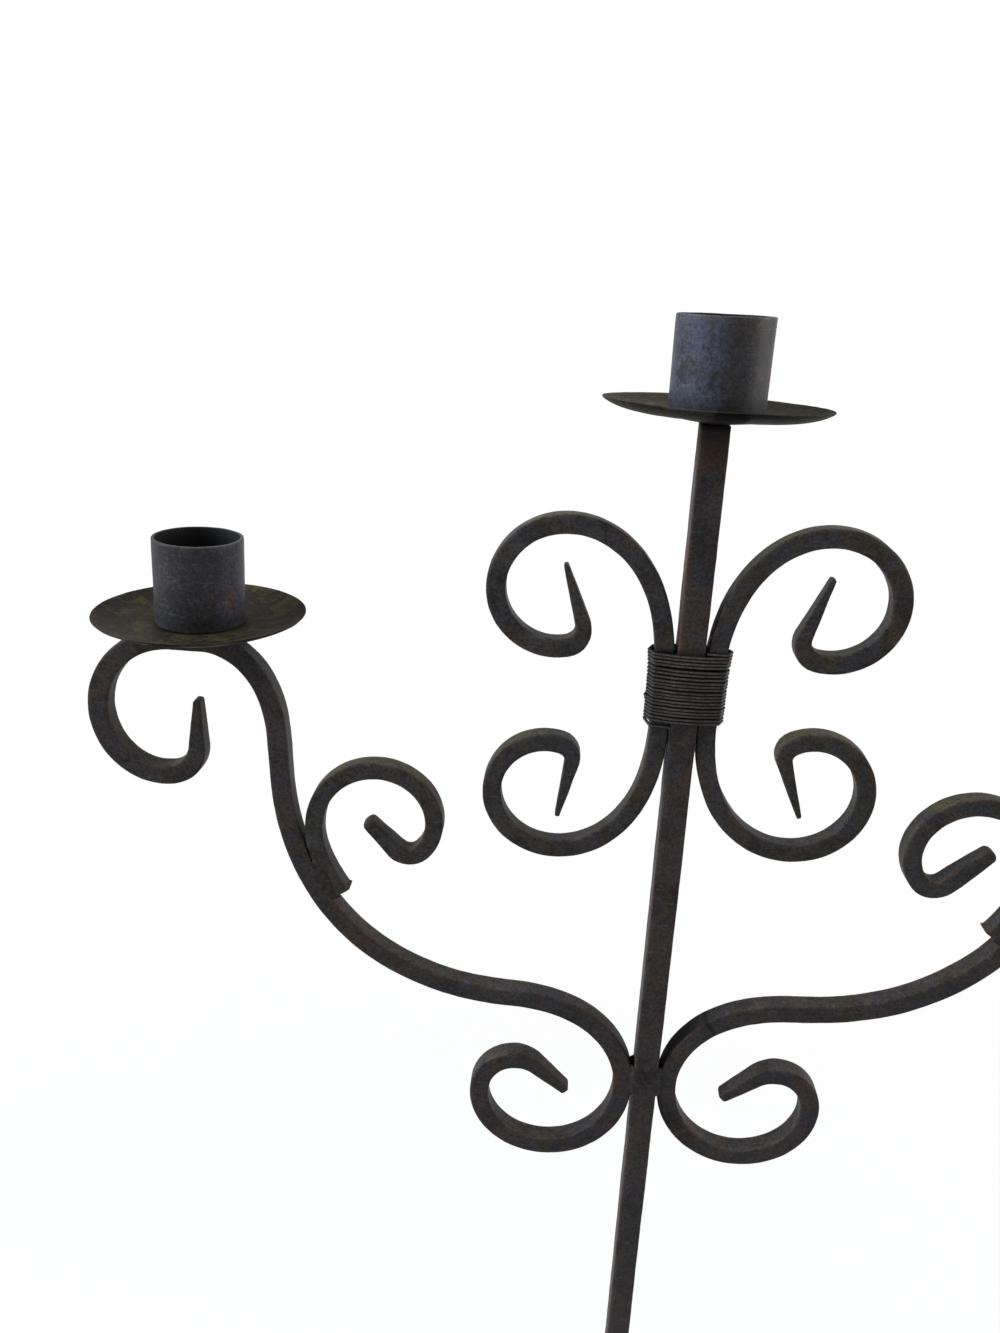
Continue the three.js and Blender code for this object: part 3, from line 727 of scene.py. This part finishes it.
def makeCup(s, side, place, shift):
    bm = bmesh.new()
    turnProfile(bm, cupProfile(s), 112)
    edgeNear(bm, lambda r, h: float(h > s["height"] - 1.0 or (h < 0.9 and r > s["radius"] - 1.5)))
    shadeOf = bm.verts.layers.float.new("shadeAndReflection")
    litSheenOf = bm.verts.layers.float.new("litSheen")
    inner = s["radius"] - s["wall"] + 0.2
    # painted shade inside the cup, darker deeper down, and round its foot; on the left cup also painted
    # shade on its right side
    for v in bm.verts:
        z = v.co.z / mm
        if math.hypot(v.co.x, v.co.y) / mm < inner and z > s["wall"] / 2:
            v[shadeOf] = min(1, 0.8 + (s["height"] - z) / 25)
        else:
            foot = s["footShade"] * clamp((s["footHeight"] - z) / s["footHeight"] * 1.6)
            right = s["rightShade"][side] * clamp((v.co.x / mm / s["radius"] - 0.4) / 0.4)
            v[shadeOf] = max(foot, right)
        # painted bluish sheen on the side that faces the light from the left
        facing = Vector((v.co.x, v.co.y)).normalized().dot(Vector(s["litSide"]))
        v[litSheenOf] = s["litSheen"][side] * clamp((facing - 0.30) / 0.25)
    bmesh.ops.transform(bm, matrix=place, verts=bm.verts[:])
    roughen(bm, s["marks"], shift)
    middle = place.translation / mm
    low, high, start, end = s["rusted"][side]

    def rusty(x, y, z, n):
        around = math.degrees(math.atan2(x - middle.x, -y))
        return 0.6 * band(z - middle.z, low, high, 4) * band(around, start, end, 6)

    tint(bm, "rusted", rusty)
    addPiece(bm, side + "CandleCup", side + "_cup", "cup")


def screwProfile(s, shank):
    radius, head, height = s["radius"], s["head"], s["height"]
    stalk = [(0.0, -shank), (radius * 0.8, -shank), (radius, -shank + 0.6), (radius, 0)]
    dome = [(head * math.cos(a), height * (0.3 + 0.7 * math.sin(a)))
            for a in (0.0, 0.25, 0.5, 0.8, 1.1, 1.35)]
    return stalk + [(head - 0.2, 0), (head, 0.2)] + dome + [(0.0, height)]


def makeScrew(s, name, node, place, shank):
    bm = bmesh.new()
    turnProfile(bm, screwProfile(s, shank), 40)
    for edge in (-s["slot"], s["slot"]):
        bmesh.ops.bisect_plane(bm, geom=bm.verts[:] + bm.edges[:] + bm.faces[:],
                               plane_co=(edge * mm, 0, 0), plane_no=(1, 0, 0))

    def inSlot(face):
        middle = face.calc_center_median()
        return abs(middle.x) < s["slot"] * mm and middle.z > 0.35 * s["height"] * mm

    slot = [face for face in bm.faces if inSlot(face)]
    grown = bmesh.ops.extrude_face_region(bm, geom=slot)
    lowered = [part for part in grown["geom"] if isinstance(part, bmesh.types.BMVert)]
    bmesh.ops.translate(bm, vec=(0, 0, -s["slotDepth"] * mm), verts=lowered)
    bmesh.ops.delete(bm, geom=[face for face in slot if face.is_valid], context="FACES")
    bmesh.ops.transform(bm, matrix=place, verts=bm.verts[:])
    addPiece(bm, name, node, "screw")


def raised(height):
    return Matrix.Translation((0, 0, height * mm))


def makeHolder(s, side, x, z, turn, lean, shift):
    turned, unturned = Matrix.Rotation(turn, 4, "Z"), Matrix.Rotation(-turn, 4, "Z")
    back, over = (math.radians(degrees) for degrees in s["tilt"][side])
    tipBack, tipOver = Matrix.Rotation(back, 4, "X"), Matrix.Rotation(over, 4, "Y")
    leaning = Matrix.Rotation(math.radians(lean), 4, "Y")
    seat = dishHeight(s["pan"], s["cup"]["radius"]) + s["pan"]["sheet"] + s["gap"]
    headSeat = seat + s["cup"]["wall"] + s["gap"]
    shank = seat + s["cup"]["wall"] + 2 * s["gap"] + s["screw"]["reach"]
    place = Matrix.Translation(Vector((x, 0, z + s["gap"])) * mm) @ turned
    tilted = place @ unturned @ tipBack @ tipOver @ turned
    cupPlace = place @ raised(seat) @ unturned @ leaning @ turned
    screwPlace = place @ raised(headSeat) @ Matrix.Rotation(s["screw"]["slotTurn"], 4, "Z")
    makePan(s["pan"], side + "DripPan", side + "_pan", tilted, shift)
    makeCup(s["cup"], side, cupPlace, shift + 2)
    makeScrew(s["screw"], side + "CupScrew", side + "_screw", screwPlace, shank)


makeHolder(holder, "top", 0, upright["pan"], 0, 0, 71)
makeHolder(holder, "left", -limb["cup"], weldHeights["left"] + seatTop, math.pi, 1.2, 79)
makeHolder(holder, "right", limb["cup"], weldHeights["right"] + seatTop, 0, 0, 83)
print("cups, pans and screws made")

# Binding wire

binding = {
    "wire": 1.5, "turns": 20, "height": 34, "middle": 1336.5, "gap": 0.15, "bow": 1.6,
    # mm left open after a turn
    "slack": {2: 0.2, 4: 0.9, 6: 0.5, 7: 0.3, 10: 0.5, 13: 0.25, 15: 0.45, 18: 0.4},
    "stem": 6.35, "scroll": 4.5, "corner": 0.5, "bendRadius": 1.1, "sides": 10,
    "drift": 0.10, "spring": 0.55,  # how far a bend may stray in height and stand off
    "proud": {136: 0.8, 146: 0.4},  # loose bends, by corner
    "endDrop": (0.2, 1.6),
    "hook": (2.8, -0.3),  # how far the end runs down and inwards
}
cScrollPaths = {side: cScrollStations(cScroll, side) for side in ("left", "right")}


def woundDown(s, turn):
    pitch = (s["height"] - sum(s["slack"].values())) / s["turns"]
    return pitch * turn + sum(slack * clamp(turn - at) for at, slack in s["slack"].items())


def scrollFaceAt(side, height):  # how far out a C-scroll's outer face is
    z = height - cScroll["top"]
    path = cScrollPaths[side]
    for a, b in zip(path, path[1:]):
        if a[1] <= z < b[1] and b[0] < 2 * cScroll["x"]:
            return a[0] + (b[0] - a[0]) * (z - a[1]) / (b[1] - a[1]) + cScroll["bar"] / 2
    return cScroll["x"] + cScroll["bar"] / 2


def wireTurn(s, height):  # the corners of one turn round the bundle, seen from above
    right, left = scrollFaceAt("right", height), scrollFaceAt("left", height)
    scroll, stem, corner, bow = s["scroll"], s["stem"], s["corner"], s["bow"]
    return [(right - corner, -scroll), (right + bow, 0), (right - corner, scroll),
            (stem - corner, stem), (corner - stem, stem),
            (corner - left, scroll), (-left - bow, 0), (corner - left, -scroll),
            (corner - stem, -stem), (stem - corner, -stem)]


def wirePath(s):
    top = s["middle"] + s["height"] / 2
    count = len(wireTurn(s, top))
    corners = []
    for k in range(s["turns"] * count + count - 2):
        height = top - woundDown(s, k / count)
        turn = wireTurn(s, height)
        here, before, after = (Vector(turn[j % count]) for j in (k, k - 1, k + 1))
        into = (here - before).normalized()
        away = (after - here).normalized()
        side = Vector((into.y, -into.x))
        out = (side + Vector((away.y, -away.x))).normalized()
        mitre = (s["wire"] / 2 + s["gap"]) / out.dot(side)
        drift = s["drift"] * noise.noise(Vector((k * 0.31, 0, 0)))
        spring = s["spring"] * max(0, noise.noise(Vector((k * 0.53, 9, 0))))
        place = here + out * (mitre + spring + s["proud"].get(k, 0))
        corners.append(Vector((place.x, place.y, height + drift)))
    inner = s["stem"] + 0.3 + s["wire"] / 4
    first = Vector((inner, corners[0].y, corners[0].z))
    for corner, drop in zip(corners[-2:], s["endDrop"]):
        corner.z -= drop
    last = corners[-1]
    down, inwards = s["hook"]
    hook = [Vector((0.4 - inner, last.y, last.z - 0.4)),
            Vector((1.1 - inner, last.y + inwards, last.z - down))]
    return roundCorners([first] + corners + hook, s["bendRadius"])


def roundCorners(points, radius):
    path = [points[0]]
    for before, here, after in zip(points, points[1:], points[2:]):
        into = (here - before).normalized()
        away = (after - here).normalized()
        turn = into.angle(away, 0)
        if turn < 0.02:
            path.append(here)
            continue
        room = min((here - before).length, (after - here).length) * 0.45
        cut = min(radius * math.tan(turn / 2), room)
        start, end = here - into * cut, here + away * cut
        for i in range(5):
            t = i / 4
            path.append(start * (1 - t) ** 2 + here * 2 * t * (1 - t) + end * t ** 2)
    return path + [points[-1]]


def wireFrame(path, i):
    forward = (path[min(i + 1, len(path) - 1)] - path[max(i - 1, 0)]).normalized()
    level = forward.cross(Vector((0, 0, 1))).normalized()
    axes = Matrix((level, forward.cross(level) * -1, forward)).transposed().to_4x4()
    return Matrix.Translation(path[i] * mm) @ axes


def sweepRound(path, radius, sides):
    bm = bmesh.new()
    bmesh.ops.create_circle(bm, cap_ends=True, segments=sides, radius=radius * mm)
    return sweepFace(bm, onlyFace(bm), [wireFrame(path, i) for i in range(len(path))])


def makeBinding(s):
    bm = sweepRound(wirePath(s), s["wire"] / 2, s["sides"])
    # painted shade in the grooves between turns
    tint(bm, "shadeAndReflection", lambda x, y, z, n: (abs(n.z) - 0.40) / 0.35)
    addPiece(bm, "bindingWire", "binding_wire", "wire", 60)


makeBinding(binding)
print("binding made")

# Welds: a rippled bead over the joint, sunk into the bars at its rim

welds = {
    "arm": {"width": 27, "height": {"front": 18, "back": 15}, "lift": 5.5,
            "crown": 0.7, "ripple": 0.32, "sink": 0.7},
    "scroll": {"width": 24, "height": 8.5, "crown": 0.5, "ripple": 0.20, "sink": 0.6},
    "leg": {"length": 24, "leg": 4.2, "ripple": 0.22, "sink": 0.6},
}


def beadPatch(s, height, base, seed):  # upright, and bulging to -Y from a ground at base(x)
    bm = bmesh.new()
    bmesh.ops.create_grid(bm, x_segments=54, y_segments=34, size=0.5)
    oblong = 3.2  # the power that squares the patch's outline
    for v in bm.verts:
        u, w = 2 * v.co.x, 2 * v.co.y
        edgeWave = 1 + 0.10 * noise.noise(Vector((3 * u, 3 * w, seed)))
        r = min(1, (abs(u) ** oblong + abs(w) ** oblong) ** (1 / oblong)) / edgeWave
        fill = max(0, 1 - r ** 4) ** 0.5
        x, z = u * s["width"] / 2, w * height / 2
        wander = 1.6 * noise.noise(Vector((x / 5, z / 5, seed)))
        waves = math.sin((x * 0.75 + z * 0.55 + wander) * 1.35)
        lumps = noise.noise(Vector((x / 4, z / 4, seed + 5)))
        bead = s["ripple"] * waves + 0.35 * lumps - 0.2
        y = base(x) + (s["crown"] + s["sink"]) * fill - s["sink"] + fill * bead
        v.co = Vector((x, -y, z)) * mm
    rim = [e for e in bm.edges if e.is_boundary]
    grown = bmesh.ops.extrude_edge_only(bm, edges=rim)
    for part in grown["geom"]:
        if isinstance(part, bmesh.types.BMVert):
            part.co.y += 0.8 * mm
    bmesh.ops.holes_fill(bm, edges=[e for e in bm.edges if e.is_boundary])
    bmesh.ops.recalc_face_normals(bm, faces=bm.faces[:])
    return bm


def makeArmWeld(s, word, turn, seed):
    stem, arm = upright["bar"] / 2, limb["bar"] / 2

    def base(x):  # steps from the upright's face down to the arms'
        t = clamp((abs(x) - stem + 0.4) / 2.6)
        return stem + (arm - stem) * t * t * (3 - 2 * t)

    bm = beadPatch(s, s["height"][word], base, seed)
    place = raised(weldHeights["left"] + s["lift"]) @ Matrix.Rotation(turn, 4, "Z")
    bmesh.ops.transform(bm, matrix=place, verts=bm.verts[:])
    addPiece(bm, word + "ArmWeld", "arm_weld_" + word, "weld", 60)


def makeScrollWeld(s, side, word, seed):
    middle = armScroll["start"][side] + armScroll["seat"] / 2 + 0.7
    x, z, heading, _ = next(station for station in limbPath if station[3] >= middle)
    half = limb["bar"] / 2
    bm = beadPatch(s, s["height"], lambda _: half - 0.25, seed)
    if (word == "front") != (side == "right"):
        bmesh.ops.transform(bm, matrix=Matrix.Rotation(math.pi, 4, "Z"), verts=bm.verts[:])
    joint = Vector((x - half * math.sin(heading), 0, z + half * math.cos(heading)))
    place = sidePlace(side) @ Matrix.Translation(joint * mm) @ Matrix.Rotation(-heading, 4, "Y")
    bmesh.ops.transform(bm, matrix=place, verts=bm.verts[:])
    addPiece(bm, side + word.capitalize() + "ScrollWeld", side + "_scroll_weld_" + word, "weld", 60)


def filletOutline(s, face, sunk):  # in plan, a hollow curve across the corner between two legs
    reach, bulge = face + s["leg"], face + s["leg"] * 0.62

    def curve(t, start, end):
        return (1 - t) ** 2 * start + 2 * t * (1 - t) * bulge + t * t * end

    shares = [i / 14 for i in range(15)]
    bent = [(curve(t, reach, sunk), curve(t, sunk, reach)) for t in shares]
    return [(face - 1.0, sunk)] + bent + [(sunk, face - 1.0)]


def makeLegWeld(s, name, node, quarter, seed):
    face, sunk = upright["bar"] / 2, limb["bar"] / 2 - s["sink"]
    middle = Vector((face, face)) * mm
    steps = 48
    bm = bmesh.new()
    top = bm.faces.new([bm.verts.new((x * mm, y * mm, 0)) for x, y in filletOutline(s, face, sunk)])
    for _ in range(steps):
        top = extrudedFace(bm, top)
        bmesh.ops.translate(bm, vec=(0, 0, s["length"] / steps * mm), verts=top.verts[:])
    for v in bm.verts:
        z = v.co.z / mm
        if min(v.co.x, v.co.y) / mm - sunk > 0.05:
            end = min(1, min(z, s["length"] - z) / 2.5)
            shrink = 1 - 0.45 * (1 - end) ** 2
            wander = 2 * noise.noise(Vector((z / 4, seed, 0)))
            flat = Vector((v.co.x, v.co.y)) - middle
            flat *= shrink * (1 + 0.10 * math.sin(z * 3.2 + wander) * s["ripple"] * 4)
            v.co.x, v.co.y = middle.x + flat.x, middle.y + flat.y
    bmesh.ops.recalc_face_normals(bm, faces=bm.faces[:])
    lift = seatTop + (limb["waist"] - s["length"]) / 2
    place = raised(lift) @ Matrix.Rotation(quarter * math.pi / 2, 4, "Z")
    bmesh.ops.transform(bm, matrix=place, verts=bm.verts[:])
    addPiece(bm, name, node, "weld", 50)


makeArmWeld(welds["arm"], "front", 0, 3)
makeArmWeld(welds["arm"], "back", math.pi, 8)
for side in ("left", "right"):
    for word in ("front", "back"):
        makeScrollWeld(welds["scroll"], side, word, 12 + len(side) + len(word))
for quarter, (word, node) in enumerate((("backRight", "back_right"), ("backLeft", "back_left"),
                                        ("frontLeft", "front_left"), ("frontRight", "front_right"))):
    makeLegWeld(welds["leg"], word + "LegWeld", node + "_leg_weld", quarter, 20 + quarter)
print("welds made")

# Floor, sky and lamps

studio = {
    "floor": rgb(0.95, 0.95, 0.95), "bounce": rgb(0.30, 0.29, 0.28), "white": rgb(1, 1, 1),
    "shadow": 0.16,  # how much of the lit floor shows near the stand
    "shadowFade": (0.8, 2.2),  # m from the stand
    "sky": rgb(0.86, 0.90, 1.0), "skyStrength": 0.46,
    "lamps": [
        {"name": "windowLeft", "place": (-2.2, -0.5, 2.3), "aim": (0, 0, 1.2),
         "size": 1.3, "power": 70, "color": (0.86, 0.93, 1.0)},
        {"name": "softRight", "place": (2.0, 0.1, 2.0), "aim": (0, 0, 1.2),
         "size": 1.1, "power": 32, "color": (1.0, 0.96, 0.90)},
        {"name": "overhead", "place": (0.1, 0.2, 3.3), "aim": (0, 0, 1.0),
         "size": 1.5, "power": 9, "color": (1, 1, 1)},
    ],
}


def makeFloor(s):
    bm = bmesh.new()
    bmesh.ops.create_grid(bm, x_segments=1, y_segments=1, size=30)
    mesh = bpy.data.meshes.new("studioFloor")
    bm.to_mesh(mesh)
    bm.free()
    floor = bpy.data.objects.new("studioFloor", mesh)
    bpy.context.scene.collection.objects.link(floor)
    p = Paint(bpy.data.materials.new("paleFloor"))
    camera, glossy, through = p.rays("Is Camera Ray", "Is Glossy Ray", "Is Transmission Ray")
    seen = p.maths("MINIMUM", camera + glossy + through, 1.0)
    place = p.node("ShaderNodeTexCoord", {}, {}, 3)
    distance = p.node("ShaderNodeVectorMath", {"operation": "LENGTH"}, {0: place}, 1)
    share = 1 - s["shadow"] * (1 - p.between(distance, *s["shadowFade"]))
    shown = p.node("ShaderNodeBsdfDiffuse", {}, {"Color": s["floor"]})
    glow = p.node("ShaderNodeEmission", {}, {"Color": s["white"], "Strength": 1.0})
    pale = p.node("ShaderNodeMixShader", {}, {0: share, 1: shown, 2: glow})
    bounce = p.node("ShaderNodeBsdfDiffuse", {}, {"Color": s["bounce"]})
    mesh.materials.append(p.finish(p.node("ShaderNodeMixShader", {}, {0: seen, 1: bounce, 2: pale})))


def makeSky(s):
    world = bpy.data.worlds.new("paleSky")
    bpy.context.scene.world = world
    p = Paint(world)
    camera, glossy, through = p.rays("Is Camera Ray", "Is Glossy Ray", "Is Transmission Ray")
    seen = p.maths("MAXIMUM", p.maths("MAXIMUM", camera, through), glossy)
    light = p.node("ShaderNodeBackground", {}, {"Color": s["sky"], "Strength": s["skyStrength"]})
    white = p.node("ShaderNodeBackground", {}, {"Color": s["white"]})
    p.finish(p.node("ShaderNodeMixShader", {}, {0: seen, 1: light, 2: white}), "ShaderNodeOutputWorld")


def makeLamp(lamp):
    data = bpy.data.lights.new(lamp["name"], "AREA")
    data.size = lamp["size"]
    data.energy = lamp["power"]
    data.color = lamp["color"]
    made = bpy.data.objects.new(lamp["name"], data)
    aim = (Vector(lamp["aim"]) - Vector(lamp["place"])).to_track_quat("-Z", "Y")
    made.matrix_world = Matrix.Translation(lamp["place"]) @ aim.to_matrix().to_4x4()
    bpy.context.scene.collection.objects.link(made)


makeFloor(studio)
makeSky(studio)
for lamp in studio["lamps"]:
    makeLamp(lamp)
bpy.context.scene.view_settings.view_transform = "Standard"
print("studio ready")
